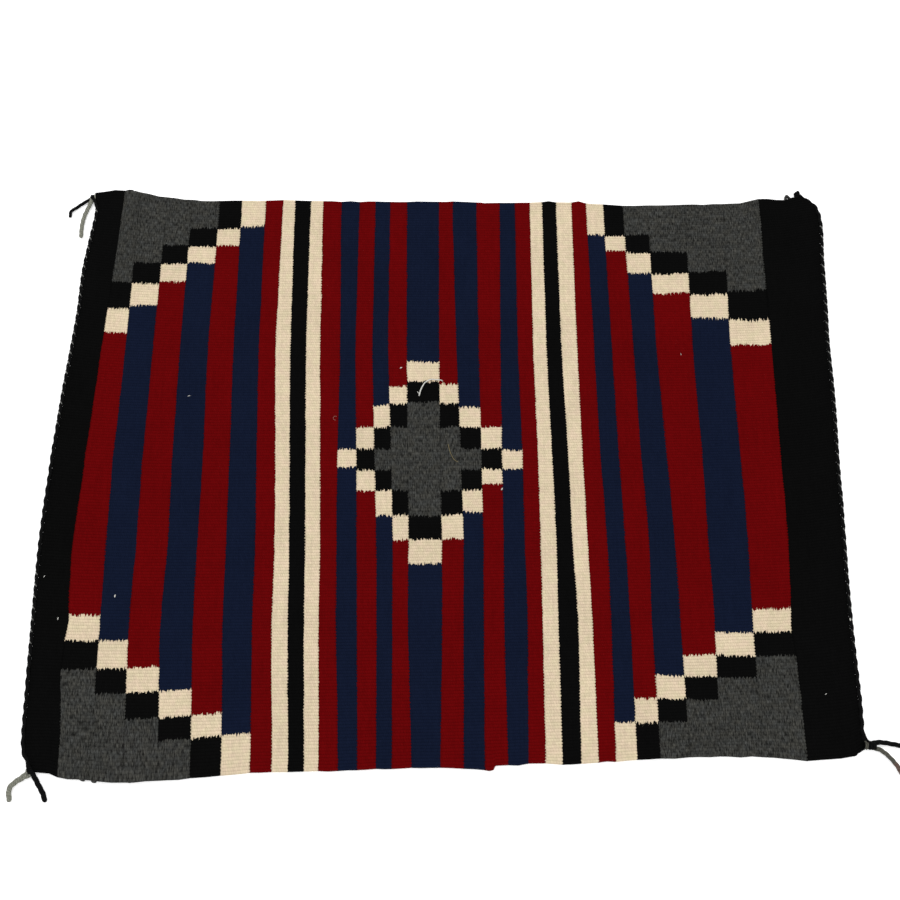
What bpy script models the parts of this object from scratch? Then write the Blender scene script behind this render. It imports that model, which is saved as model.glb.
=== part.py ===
"""Handwoven striped wool rug, laid flat: cloth, twisted end cords and knotted corner tassels.

Metres, +Z up. The origin is on the floor under the middle of everything. The long side lies
along X, the stripes run along Y, and the front edge is the one at -Y.
"""

import math

import bmesh
import bpy
from mathutils import Vector

MM = 0.001
SHARP_ANGLE = math.radians(40)
DIRECTION_REACH = 0.5 * MM

# Woven cloth
CLOTH_THICKNESS = 4.0 * MM
SELVAGE_CHAMFER = 1.2 * MM
SELVAGE_ANGLE = math.radians(60)
CLOTH_COLUMNS = 36
CLOTH_ROWS = 32
CORNER_CROWDING = 0.6
CREASE_CROWDING = 0.6

# Edges of the cloth as it lies, from corner to corner. Columns: x mm, y mm
FRONT_EDGE = [
    (-450, -343), (-444, -344), (-437, -344.3), (-429, -347.7), (-419.5, -350.2), (-408, -351),
    (-386, -352.3), (-363, -354.8), (-318, -352.4), (-264, -348), (-219, -343.2), (-179, -342.3),
    (-118, -340.5), (-60, -337.9), (-11, -337.2), (47, -335), (112, -332), (194, -327.8),
    (238, -325.3), (320, -323), (375, -327), (411, -325), (422.8, -323.3), (429, -321),
    (432, -317.4), (438.5, -315.2),
]
BACK_EDGE = [
    (-459, 366), (-447, 367.2), (-442, 369.3), (-424, 369.8), (-406, 368), (-378, 362),
    (-345, 357.8), (-321, 355.7), (-220, 357), (-86, 356.2), (-11, 356.7), (40, 354.8),
    (140, 356.8), (211, 353.8), (279, 354.8), (350, 357.6), (368, 360.7), (378, 361.8),
    (387, 361.2), (398, 359.8), (407, 358.4), (412, 360), (418, 362), (424, 363.2), (431, 363.5),
]
LEFT_EDGE = [
    (-450, -343), (-452, -340), (-454.5, -336), (-459, -328), (-463.5, -318), (-466.7, -255),
    (-468.5, -194), (-470.5, -131), (-471.4, -62), (-469.9, 10), (-466.8, 90), (-463.2, 148),
    (-460.5, 198), (-460, 256), (-456.5, 290), (-454, 308), (-452, 322), (-451, 336),
    (-452, 346), (-455, 353), (-458, 359), (-459, 366),
]
RIGHT_EDGE = [
    (438.5, -315.2), (438.9, -311), (438.4, -306), (436.6, -300), (436.4, -284), (437, -262),
    (436.1, -197), (436.3, -139), (438.7, -74), (440.7, 10), (443.8, 90), (444.4, 170),
    (446.7, 216), (448.3, 270), (449.2, 320), (448, 338), (444.8, 350), (440, 356.5),
    (436, 360.3), (431, 363.5),
]

# Soft crease across the middle, where the rug was folded in half
CREASE_LEFT = Vector((-470, 12)) * MM
CREASE_RIGHT = Vector((440, -36)) * MM
CREASE_HALF_WIDTH = 26 * MM
CREASE_HEIGHT = 1.2 * MM

# Soft swells where the cloth stands off the floor. Columns: x, y, radius, height, all mm
SWELLS = [
    (-440, 352, 70, 1.6),
    (-365, -340, 90, 1.8),
    (-470, -90, 80, 1.4),
    (60, 352, 110, 1.2),
    (215, -322, 100, 1.4),
    (436, -150, 75, 1.3),
    (-120, 190, 120, 0.8),
    (180, -150, 130, 0.7),
]

# Mound over the tails that are tucked under the back right corner
MOUND_CENTRE = Vector((428, 345)) * MM
MOUND_FLAT_RADIUS = 29 * MM
MOUND_RADIUS = 78 * MM
MOUND_HEIGHT = 6.2 * MM

# Two-ply end cords
CORD_RADIUS = 2.6 * MM
CORD_WAIST = 1.5 * MM
CORD_PITCH = 13 * MM
CORD_STEPS_PER_TURN = 6
CORD_TO_CLOTH = 0.5 * MM
CORD_GUIDE_STEP = 12 * MM
CORD_SETTLE_LENGTH = 26 * MM

# Knots and tails
KNOT_GAP = 0.3 * MM
KNOT_SEGMENTS = 12
KNOT_RINGS = 7
KNOT_LOBES = 4
KNOT_LOBE_DEPTH = 0.14
YARN_STAGGER = 0.45 * MM
TAIL_STEP = 3.6 * MM
TAIL_TURN_PITCH = 24 * MM
TAIL_END_SCALE = 0.72

# One row for each corner. Places are x mm, y mm; radii are mm; tails start at the knot
TASSELS = {
    "back_left_tassel": {
        "knot": (-463.3, 359.5), "knot_radius": 3.4, "black_radius": 1.9, "grey_radius": 2.3,
        "black_tail": [(-467.6, 356.3), (-475.5, 350.4), (-483.2, 343.9), (-487.9, 340.3), (-488.8, 336),
                       (-488.4, 331)],
        "grey_tail": [(-464.9, 354.5), (-467.4, 344.5), (-470.4, 333.8), (-472.2, 321), (-472.1, 309.5),
                      (-471.6, 302)],
    },
    "front_left_tassel": {
        "knot": (-455.2, -343.2), "knot_radius": 3.6, "black_radius": 2.8, "grey_radius": 2.7,
        "black_tail": [(-452.3, -346.8), (-448.2, -350.9), (-444, -357.2), (-439.6, -364.6), (-436.8, -370.5),
                       (-435.5, -375.2)],
        "grey_tail": [(-457.5, -346.5), (-461.7, -349.5), (-468.3, -353.7), (-473.8, -358.9), (-475.5, -363.5),
                      (-474.6, -369), (-473.3, -375.2)],
    },
    "front_right_tassel": {
        "knot": (444.4, -310.6), "knot_radius": 4.6, "black_radius": 2.3, "grey_radius": 1.9,
        "black_tail": [(449.9, -308), (457, -307.2), (463.5, -307.8), (470.9, -309.1), (478.2, -310.4),
                       (489, -313)],
        "grey_tail": [(450.5, -313.6), (455.7, -315.3), (461.2, -318.8), (467, -324.5), (471.7, -330.2),
                      (474.8, -335.9), (477.5, -342.5)],
    },
    "back_right_tassel": {
        "knot": (428.7, 370.3), "knot_radius": 3.8, "black_radius": 2.1, "grey_radius": 2.0,
        "black_tail": [(428, 365), (428.6, 357), (430.5, 346), (431.5, 335), (430, 326)],
        "grey_tail": [(423.4, 368.9), (418, 368), (414.7, 365), (414.3, 359), (415.5, 349), (417, 338),
                      (417, 328)],
    },
}

# Which knots each end cord runs between, and how close to each corner it leaves the cloth's edge
END_CORDS = {
    "left_end_cord": {"edge": LEFT_EDGE, "outward": -1, "front_knot": "front_left_tassel",
                      "back_knot": "back_left_tassel", "front_margin": 12 * MM, "back_margin": 17 * MM},
    "right_end_cord": {"edge": RIGHT_EDGE, "outward": 1, "front_knot": "front_right_tassel",
                       "back_knot": "back_right_tassel", "front_margin": 16 * MM, "back_margin": 7 * MM},
}


class SmoothLine:
    """A smooth line through hand-set points, read by the distance along it."""

    def __init__(self, points):
        self.points = [Vector(point) for point in points]
        self.marks = [0.0]
        for before, after in zip(self.points, self.points[1:]):
            self.marks.append(self.marks[-1] + (after - before).length)
        self.length = self.marks[-1]

    def slope(self, index):
        low, high = max(index - 1, 0), min(index + 1, len(self.points) - 1)
        return (self.points[high] - self.points[low]) / (self.marks[high] - self.marks[low])

    def at(self, distance):
        index = 0
        while index < len(self.marks) - 2 and distance > self.marks[index + 1]:
            index += 1
        span = self.marks[index + 1] - self.marks[index]
        s = (distance - self.marks[index]) / span
        start, end = self.points[index], self.points[index + 1]
        return (start * (2 * s**3 - 3 * s**2 + 1) + self.slope(index) * span * (s**3 - 2 * s**2 + s)
                + end * (3 * s**2 - 2 * s**3) + self.slope(index + 1) * span * (s**3 - s**2))

    def direction(self, distance):
        ahead = self.at(min(distance + DIRECTION_REACH, self.length))
        behind = self.at(max(distance - DIRECTION_REACH, 0.0))
        return (ahead - behind).normalized()


def smooth_step(low, high, value):
    share = min(max((value - low) / (high - low), 0.0), 1.0)
    return share * share * (3 - 2 * share)


def flat_line(table):
    return SmoothLine([(x * MM, y * MM) for x, y in table])


def rise(x, y):
    """Height of the cloth's underside above the floor."""
    place = Vector((x, y))
    height = 0.0
    for swell_x, swell_y, radius, top in SWELLS:
        share = (place - Vector((swell_x, swell_y)) * MM).length / (radius * MM)
        height = max(height, top * MM * max(1 - share**2, 0.0) ** 2)
    along = CREASE_RIGHT - CREASE_LEFT
    from_crease = abs((place - CREASE_LEFT).cross(along)) / along.length
    crease = CREASE_HEIGHT * (1 - smooth_step(0.0, CREASE_HALF_WIDTH, from_crease))
    mound = MOUND_HEIGHT * (1 - smooth_step(MOUND_FLAT_RADIUS, MOUND_RADIUS, (place - MOUND_CENTRE).length))
    return max(height, crease) + mound


def cloth_place(edges, across, along):
    """Point of the cloth at a share of its width and depth, blended from its four edges."""
    front, back, left, right = edges
    low = front.at(across * front.length)
    high = back.at(across * back.length)
    near = left.at(along * left.length)
    far = right.at(along * right.length)
    corners = ((front.points[0] * (1 - across) + front.points[-1] * across) * (1 - along)
               + (back.points[0] * (1 - across) + back.points[-1] * across) * along)
    return low * (1 - along) + high * along + near * (1 - across) + far * across - corners


def crowd(share, strength, waves):
    """Moves grid lines towards the ends, and towards the middle too when waves is 2."""
    turn = 2 * math.pi * waves
    return share - strength * math.sin(turn * share) / turn


def plain_material(name, colour, roughness):
    material = bpy.data.materials.new(name)
    material.use_nodes = True
    shader = material.node_tree.nodes["Principled BSDF"]
    shader.inputs["Base Color"].default_value = (*colour, 1.0)
    shader.inputs["Roughness"].default_value = roughness
    shader.inputs["Metallic"].default_value = 0.0
    return material


def add_object(name, mesh, material):
    thing = bpy.data.objects.new(name, mesh)
    bpy.context.scene.collection.objects.link(thing)
    mesh.materials.append(material)
    return thing


def mesh_from(bm, name):
    bmesh.ops.recalc_face_normals(bm, faces=bm.faces)
    mesh = bpy.data.meshes.new(name)
    bm.to_mesh(mesh)
    bm.free()
    mesh.shade_smooth()
    mesh.set_sharp_from_angle(angle=SHARP_ANGLE)
    return mesh


def make_cloth(wool):
    """A grid laid out between the four edges is the underside, and the thickness goes up from it."""
    edges = [flat_line(table) for table in (FRONT_EDGE, BACK_EDGE, LEFT_EDGE, RIGHT_EDGE)]
    bm = bmesh.new()
    bmesh.ops.create_grid(bm, x_segments=CLOTH_COLUMNS, y_segments=CLOTH_ROWS, size=0.5)
    for vert in bm.verts:
        across = crowd(vert.co.x + 0.5, CORNER_CROWDING, 1)
        along = crowd(vert.co.y + 0.5, CREASE_CROWDING, 2)
        place = cloth_place(edges, across, along)
        vert.co = (place.x, place.y, rise(place.x, place.y))
    cloth = add_object("woven_cloth", mesh_from(bm, "woven_cloth"), wool)

    thickness = cloth.modifiers.new("thickness", "SOLIDIFY")
    thickness.thickness = CLOTH_THICKNESS
    thickness.offset = 1.0
    selvage = cloth.modifiers.new("selvage", "BEVEL")
    selvage.width = SELVAGE_CHAMFER
    selvage.segments = 1
    selvage.limit_method = "ANGLE"
    selvage.angle_limit = SELVAGE_ANGLE
    return cloth


def strand_mesh(name, path, section, start, end, step, pitch, end_scale=1.0):
    """Closed strand: a section carried along a path and turned once for each pitch."""
    steps = round((end - start) / step)
    bm = bmesh.new()
    rings = []
    for index in range(steps + 1):
        distance = start + (end - start) * index / steps
        ahead = path.direction(distance)
        side = ahead.cross(Vector((0, 0, 1))).normalized()
        up = side.cross(ahead)
        turn = 2 * math.pi * (distance - start) / pitch
        size = end_scale if index == steps else 1.0
        ring = []
        for a, b in section:
            across = (a * math.cos(turn) - b * math.sin(turn)) * size
            above = (a * math.sin(turn) + b * math.cos(turn)) * size
            ring.append(bm.verts.new(path.at(distance) + side * across + up * above))
        rings.append(ring)
    count = len(section)
    for before, after in zip(rings, rings[1:]):
        for corner in range(count):
            beside = (corner + 1) % count
            bm.faces.new((before[corner], before[beside], after[beside], after[corner]))
    bm.faces.new(rings[0])
    bm.faces.new(rings[-1])
    return mesh_from(bm, name)


def knot_centre(name):
    row = TASSELS[name]
    return Vector((row["knot"][0], row["knot"][1], row["knot_radius"])) * MM


def cord_path(row):
    """Runs from knot to knot just outside the cloth's edge, on whatever height the cloth has."""
    edge = flat_line(row["edge"])
    offset = CORD_RADIUS + CORD_TO_CLOTH
    start, end = row["front_margin"], edge.length - row["back_margin"]
    count = round((end - start) / CORD_GUIDE_STEP)
    points = [knot_centre(row["front_knot"])]
    for index in range(count + 1):
        distance = start + (end - start) * index / count
        ahead = edge.direction(distance)
        outward = Vector((ahead.y, -ahead.x)) * row["outward"]
        place = edge.at(distance) + outward * offset
        from_end = min(distance - start, end - distance)
        lift = rise(place.x, place.y) * smooth_step(-CORD_GUIDE_STEP, CORD_SETTLE_LENGTH, from_end)
        points.append(Vector((place.x, place.y, CORD_RADIUS + lift)))
    points.append(knot_centre(row["back_knot"]))
    return SmoothLine(points)


def make_end_cord(name, row, yarn):
    """Two yarns twisted together: a two-lobed section, its lobes a yarn each."""
    path = cord_path(row)
    section = [(CORD_RADIUS, 0), (0, CORD_WAIST), (-CORD_RADIUS, 0), (0, -CORD_WAIST)]
    start = TASSELS[row["front_knot"]]["knot_radius"] * MM + KNOT_GAP
    end = path.length - TASSELS[row["back_knot"]]["knot_radius"] * MM - KNOT_GAP
    mesh = strand_mesh(name, path, section, start, end, CORD_PITCH / CORD_STEPS_PER_TURN, CORD_PITCH)
    return add_object(name, mesh, yarn)


def make_tail(name, root, table, radius, yarn):
    points = [root] + [Vector((x * MM, y * MM, radius)) for x, y in table]
    path = SmoothLine(points)
    section = [(radius, 0), (0, radius), (-radius, 0), (0, -radius)]
    mesh = strand_mesh(name, path, section, 0.0, path.length, TAIL_STEP, TAIL_TURN_PITCH, TAIL_END_SCALE)
    tail = add_object(name, mesh, yarn)
    tail.hide_render = True
    tail.display_type = "WIRE"
    return tail


def make_knot(name, centre, radius, yarn):
    """A lump with the shallow lobes that the yarn makes as it wraps itself."""
    bm = bmesh.new()
    bmesh.ops.create_uvsphere(bm, u_segments=KNOT_SEGMENTS, v_segments=KNOT_RINGS, radius=radius)
    for vert in bm.verts:
        turn = math.atan2(vert.co.y, vert.co.x)
        dip = KNOT_LOBE_DEPTH * (1 + math.cos(KNOT_LOBES * turn)) / 2
        vert.co.x *= 1 - dip
        vert.co.y *= 1 - dip
        vert.co += centre
    return add_object(name, mesh_from(bm, name), yarn)


def make_tassel(name, row, yarn):
    """A knot with a black and a grey tail, joined into one solid at the knot."""
    centre = knot_centre(name)
    knot = make_knot(name, centre, row["knot_radius"] * MM, yarn)
    for colour, stagger in (("black", YARN_STAGGER), ("grey", -YARN_STAGGER)):
        root = centre + Vector((stagger, stagger, stagger))
        tail = make_tail(f"guide_{name}_{colour}", root, row[f"{colour}_tail"],
                         row[f"{colour}_radius"] * MM, yarn)
        join = knot.modifiers.new(f"join_{colour}", "BOOLEAN")
        join.operation = "UNION"
        join.object = tail
    return knot


def main():
    for thing in list(bpy.data.objects):
        bpy.data.objects.remove(thing)
    red_wool = plain_material("red_wool", (0.11, 0.004, 0.004), 0.95)
    cord_yarn = plain_material("cord_yarn", (0.012, 0.012, 0.013), 0.9)
    tail_yarn = plain_material("tail_yarn", (0.14, 0.14, 0.13), 0.9)
    make_cloth(red_wool)
    for name, row in END_CORDS.items():
        make_end_cord(name, row, cord_yarn)
    for name, row in TASSELS.items():
        make_tassel(name, row, tail_yarn)


main()
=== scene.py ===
"""Looks of a handwoven striped wool rug that lies flat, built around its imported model.

Metres, +Z up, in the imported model's frame. The warps, and so the ribs of the weave, run along X.
The wefts and the stripes run along Y, and the front edge is the one at -Y.
"""

import math

import bmesh
import bpy
import numpy as np
from mathutils import Matrix, Vector


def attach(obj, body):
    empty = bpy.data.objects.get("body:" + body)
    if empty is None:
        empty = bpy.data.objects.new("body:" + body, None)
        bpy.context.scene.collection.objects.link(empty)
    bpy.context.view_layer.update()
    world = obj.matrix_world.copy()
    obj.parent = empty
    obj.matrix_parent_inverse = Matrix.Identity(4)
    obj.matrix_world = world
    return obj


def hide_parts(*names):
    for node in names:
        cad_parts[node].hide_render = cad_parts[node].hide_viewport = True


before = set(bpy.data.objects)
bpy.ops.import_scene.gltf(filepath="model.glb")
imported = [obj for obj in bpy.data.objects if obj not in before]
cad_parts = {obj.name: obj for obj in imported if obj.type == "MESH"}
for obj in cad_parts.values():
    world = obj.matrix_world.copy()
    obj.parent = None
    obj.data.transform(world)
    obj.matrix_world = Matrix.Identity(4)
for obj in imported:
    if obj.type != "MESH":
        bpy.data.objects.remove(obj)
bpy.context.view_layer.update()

MM = 0.001

# Edges of the cloth as it lies, from corner to corner, within 2 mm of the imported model's. x mm, y mm
FRONT_EDGE = [
    (-451.4, -344), (-444, -344.4), (-437, -344.4), (-429, -347.7), (-419.5, -350.2), (-408, -351),
    (-386, -352.3), (-363, -354.8), (-318, -352.4), (-264, -348), (-219, -343.2), (-179, -342.3),
    (-118, -340.5), (-60, -337.9), (-11, -337.2), (47, -335), (112, -332), (194, -327.8),
    (238, -325.3), (320, -323), (375, -327), (411, -325), (422.8, -323.3), (429, -321),
    (432, -317.4), (438.5, -315.2),
]
BACK_EDGE = [
    (-459, 366), (-447, 367.2), (-442, 369.3), (-424, 369.8), (-406, 368), (-378, 362),
    (-345, 357.8), (-321, 355.7), (-220, 357), (-86, 356.2), (-11, 356.7), (40, 354.8),
    (140, 356.8), (211, 353.8), (279, 354.8), (350, 357.6), (368, 360.7), (378, 361.8),
    (387, 361.2), (398, 359.8), (407, 358.4), (412, 360), (418, 362), (424, 363.2), (431, 363.5),
]
LEFT_EDGE = [
    (-451.4, -344), (-453.2, -340.8), (-454.8, -336), (-459, -328), (-462.9, -318), (-466.3, -255),
    (-468.5, -194), (-470.5, -131), (-471.4, -62), (-469.9, 10), (-466.8, 90), (-463.2, 148),
    (-460.5, 198), (-460, 256), (-457, 290), (-455, 308), (-453.3, 322), (-452.3, 336),
    (-452.9, 346), (-455.3, 353), (-458, 359), (-459, 366),
]
RIGHT_EDGE = [
    (438.5, -315.2), (438.9, -311), (438.4, -306), (436.6, -300), (436.4, -284), (437, -262),
    (436.1, -197), (436.3, -139), (438.7, -74), (440.7, 10), (443.8, 90), (444.4, 170),
    (446.7, 216), (448.3, 270), (449.2, 320), (448, 338), (444.8, 350), (440, 356.5),
    (436, 360.3), (431, 363.5),
]

# How the cloth lies: a soft crease across the middle, swells, and a mound over tucked tails, all mm
CREASE_LEFT = (-470, 12)
CREASE_RIGHT = (440, -36)
CREASE_HALF_WIDTH = 26
CREASE_HEIGHT = 1.2
SWELLS = [
    (-440, 352, 70, 1.6), (-365, -340, 90, 1.8), (-470, -90, 80, 1.4), (60, 352, 110, 1.2),
    (215, -322, 100, 1.4), (436, -150, 75, 1.3), (-120, 190, 120, 0.8), (180, -150, 130, 0.7),
]
MOUND_CENTRE = (428, 345)
MOUND_FLAT_RADIUS = 29
MOUND_RADIUS = 78
MOUND_HEIGHT = 6.2

# The weave
RIBS = 203
ROWS_PER_RIB = 3
HALF_THICKNESS = 2.0
RIB_VALLEY = 0.5
RIM_HALF_HEIGHT = 0.7
END_MARGIN = 1.2
END_STRETCH = 1.3
COLUMN_WIDTH = 12.5

# Level lines that the ribs follow away from the edges, and how fast the edges' bulges fade: mm
FRONT_LEVEL = [(-459, -347), (-320, -346), (-11, -337.5), (320, -325), (438.5, -322)]
BACK_LEVEL = [(-459, 358), (-320, 356.5), (0, 356), (300, 356.5), (431, 358)]
BULGE_FADE = 22
BOW_FADE = 20

# The joins between stripes, from left to right: x mm at each of these depths (y mm)
JOIN_DEPTHS = (-324, -177, -91, 11, 151, 337)
JOINS = [
    (-425.5, -434, -437.5, -434.5, -430, -422.5),
    (-392, -397, -399.5, -402, -401, -403),
    (-356, -365, -365, -367.5, -368, -368),
    (-319, -330.5, -329, -333, -335.5, -336),
    (-284.5, -294, -296, -297, -302, -301.5),
    (-251.5, -261, -263, -266, -271, -273.5),
    (-220.5, -228, -229.5, -234.5, -240.5, -243.5),
    (-197.5, -206.5, -207.5, -212.5, -220.5, -221.5),
    (-180, -188.5, -191, -196, -202.5, -206.5),
    (-163, -170.5, -173, -177.5, -183.5, -186.5),
    (-147.5, -154, -156, -160.5, -166.5, -171),
    (-126.5, -135, -137.5, -140.5, -142, -148),
    (-106, -111.5, -114.5, -118, -124, -125),
    (-86, -89.5, -92, -97, -103.5, -105),
    (-69, -72, -73.5, -77.5, -84.5, -86.5),
    (-48, -55, -55.5, -58.5, -62, -65.5),
    (-17, -16, -17.5, -20, -23, -25),
    (8, 7.5, 7.5, 4, -2, -8),
    (30.5, 30, 30, 28, 25, 22),
    (55.5, 52.5, 53, 52, 51, 51.5),
    (77.5, 79, 77, 76, 72, 70.5),
    (96, 95.5, 95, 94, 90.5, 89.5),
    (114, 113, 113, 110.5, 106.5, 105),
    (134, 135.5, 131, 129.5, 124.5, 122.5),
    (152.5, 151, 148.5, 146, 143.5, 142),
    (171, 172, 171, 167, 164, 160.5),
    (194, 193, 191.5, 188.5, 185.5, 182),
    (219, 217, 219, 214.5, 211.5, 206.5),
    (250.5, 249, 248, 244.5, 239, 237.5),
    (284, 287.5, 286, 286, 283, 284.5),
    (329, 329.5, 331.5, 330.5, 328.5, 333),
    (376.5, 373.5, 377.5, 377.5, 378.5, 378),
]
# Where a join leaves its smooth course. Each: number of the join, depth, reach, shift, all mm
JOIN_KINKS = [(0, -234, 60, -3.5), (0, -174, 28, 2.4), (31, -194, 34, -2.2)]
STRIPES = len(JOINS) + 1
MIDDLE_STRIPE = len(JOINS) // 2

# Where the blocks of each corner step up. Each pair: ribs from the nearest long edge, at the middle
# block of the step, and how many ribs further the next block towards the rug's middle starts
CORNER_STEPS = {
    "front_left": [(11.3, 0.7), (17.6, 0.5), (25.2, 0.6), (32.4, 0.3), (41.3, -0.1), (49.2, 0.0)],
    "front_right": [(12.1, 0.3), (19.3, 0.5), (26.3, 0.7), (32.8, 0.5), (40.2, 0.2), (47.7, 0.0)],
    "back_left": [(11.3, -0.4), (18.8, -0.2), (26.1, -0.3), (34.0, -0.5), (43.8, -0.4), (54.2, 0.0)],
    "back_right": [(13.4, 0.1), (20.3, -0.2), (28.9, 0.3), (37.3, 0.3), (47.9, -0.2), (58.8, 0.0)],
}
FIRST_STEP_BLOCK = 11
EDGE_STEP = 0.7
EDGE_STEP_RIBS = 3
MIDDLE_RIB = RIBS / 2
FAR_STEP = 12

# Joins that a block has in another place than its row. Each: stripe, whether in the front half,
# the join (0 outside the cream, 1 inside it, 2 inside the black), and the shift in steps
SHIFTED_JOINS = [
    (19, True, 0, -0.27), (16, False, 1, 0.13), (16, False, 2, 0.16), (15, False, 0, -0.10),
    (15, False, 1, 0.08), (17, False, 1, 0.10), (12, True, 0, -0.14), (18, True, 0, -0.13),
    (20, False, 0, -0.10), (18, False, 0, -0.10),
]
BLACK_GROWS = 0.09

# Where the diamond steps in, counted in ribs from the front edge
DIAMOND_FRONT = (106.1, 98.5, 91.2, 82.5, 74.1, 65.7)
DIAMOND_BACK = (98.5, 106.1, 114.0, 122.1, 130.1, 138.5)

# Uneven turns of the wefts along the long edges: chart place, mm outwards
FRONT_TURNS = [
    (0.0, 0.0), (1.0, 0.4), (17.0, 0.0), (18.0, 0.8), (18.6, 1.8), (19.0, 3.0), (19.20, 4.1),
    (19.38, 4.1), (19.46, -0.2), (20.0, -0.3), (20.7, -0.2), (21.0, -1.6), (22.0, -1.2),
    (23.0, 0.6), (23.5, 1.4), (24.0, 1.2), (25.0, 0.2), (30.2, 0.0), (30.4, 1.5), (30.6, 0.0), (33.0, 0.0),
]
BACK_TURNS = [
    (0.0, 0.0), (7.0, 0.2), (8.6, 0.9), (9.4, 0.9), (10.2, -0.2), (16.0, 0.3), (22.8, -0.2), (23.3, 1.9),
    (23.8, 1.9), (24.3, -0.5), (24.9, -0.3), (25.2, 2.2), (25.8, 2.2), (26.1, -0.2), (33.0, 0.0),
]
TURN_DEPTH_RIBS = 7
EXTRA_COLUMNS = (19.20, 19.38, 19.46)


class SmoothLine:
    """A smooth line through given points, read by the distance along it."""

    def __init__(self, points):
        self.points = [Vector(point) for point in points]
        self.marks = [0.0]
        for before, after in zip(self.points, self.points[1:]):
            self.marks.append(self.marks[-1] + (after - before).length)
        self.length = self.marks[-1]

    def slope(self, index):
        low, high = max(index - 1, 0), min(index + 1, len(self.points) - 1)
        return (self.points[high] - self.points[low]) / (self.marks[high] - self.marks[low])

    def at(self, distance):
        index = 0
        while index < len(self.marks) - 2 and distance > self.marks[index + 1]:
            index += 1
        span = self.marks[index + 1] - self.marks[index]
        s = (distance - self.marks[index]) / span
        start, end = self.points[index], self.points[index + 1]
        return (start * (2 * s**3 - 3 * s**2 + 1) + self.slope(index) * span * (s**3 - 2 * s**2 + s)
                + end * (3 * s**2 - 2 * s**3) + self.slope(index + 1) * span * (s**3 - s**2))

    def direction(self, distance):
        ahead = self.at(min(distance + 0.5 * MM, self.length))
        behind = self.at(max(distance - 0.5 * MM, 0.0))
        return (ahead - behind).normalized()

    def spread(self, count):
        """Evenly spaced points along the line, as an array."""
        return np.array([self.at(self.length * i / (count - 1)) for i in range(count)])


def smooth_step(low, high, value):
    share = np.clip((value - low) / (high - low), 0.0, 1.0)
    return share * share * (3 - 2 * share)


def rise(x, y):
    """Height of the cloth's underside above the floor. Everything in mm."""
    height = np.zeros_like(x)
    for swell_x, swell_y, radius, top in SWELLS:
        share = np.hypot(x - swell_x, y - swell_y) / radius
        height = np.maximum(height, top * np.maximum(1 - share**2, 0.0) ** 2)
    along = np.subtract(CREASE_RIGHT, CREASE_LEFT)
    across = np.abs((x - CREASE_LEFT[0]) * along[1] - (y - CREASE_LEFT[1]) * along[0])
    from_crease = across / np.hypot(*along)
    crease = CREASE_HEIGHT * (1 - smooth_step(0.0, CREASE_HALF_WIDTH, from_crease))
    from_mound = np.hypot(x - MOUND_CENTRE[0], y - MOUND_CENTRE[1])
    mound = MOUND_HEIGHT * (1 - smooth_step(MOUND_FLAT_RADIUS, MOUND_RADIUS, from_mound))
    return np.maximum(height, crease) + mound


def chart_columns():
    """Places of the mesh columns on the chart, on which each stripe is one unit wide."""
    middle = JOIN_DEPTHS.index(11)
    ends = [-467.5, *[join[middle] for join in JOINS], 439.5]
    places = []
    for stripe in range(STRIPES):
        width = ends[stripe + 1] - ends[stripe]
        count = max(1, round(width / COLUMN_WIDTH))
        places += [stripe + share / count for share in range(count)]
        if stripe == 0:
            places.append(END_MARGIN / width)
        if stripe == STRIPES - 1:
            places.append(STRIPES - END_MARGIN / width)
    places = sorted([*places, *EXTRA_COLUMNS, STRIPES])
    widths = np.diff(ends)
    return np.array(places), np.array(ends), widths


def corner_steps(rib, chart, side):
    """Number of the step at each rib and column, counted from the nearest long edge."""
    from_middle = np.abs(chart - MIDDLE_STRIPE - 0.5)
    heights = [EDGE_STEP, EDGE_STEP, 1, 2, 3, 4, 5, 6, FAR_STEP]
    halves = []
    for half, ribs in (("front", rib), ("back", RIBS - rib)):
        columns = []
        for column, distance in enumerate(from_middle):
            starts = []
            for step, (start, lean) in enumerate(CORNER_STEPS[f"{half}_{side}"]):
                starts.append(start + lean * (FIRST_STEP_BLOCK + step - distance))
            places = [0, starts[0] - EDGE_STEP_RIBS, *starts, MIDDLE_RIB]
            columns.append(np.interp(ribs[:, 0], places, heights))
        halves.append(np.array(columns).T)
    return np.where(rib < MIDDLE_RIB, halves[0], halves[1])


def diamond_steps(rib):
    """Number of the step that a rib lies on, counted from the middle of the diamond."""
    front = np.interp(-rib, [-value for value in DIAMOND_FRONT] + [0], [0, 1, 2, 3, 4, 5, FAR_STEP])
    back = np.interp(rib, [*DIAMOND_BACK, RIBS], [0, 1, 2, 3, 4, 5, FAR_STEP])
    return np.maximum(front, back)


def round_edge(distance):
    """Share of the full thickness at a distance from the cloth's edge, rounded as a selvage is."""
    reach = np.clip(distance, 0, HALF_THICKNESS)
    height = np.sqrt(HALF_THICKNESS**2 - (HALF_THICKNESS - reach) ** 2)
    return np.maximum(height, RIM_HALF_HEIGHT) / HALF_THICKNESS


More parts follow.
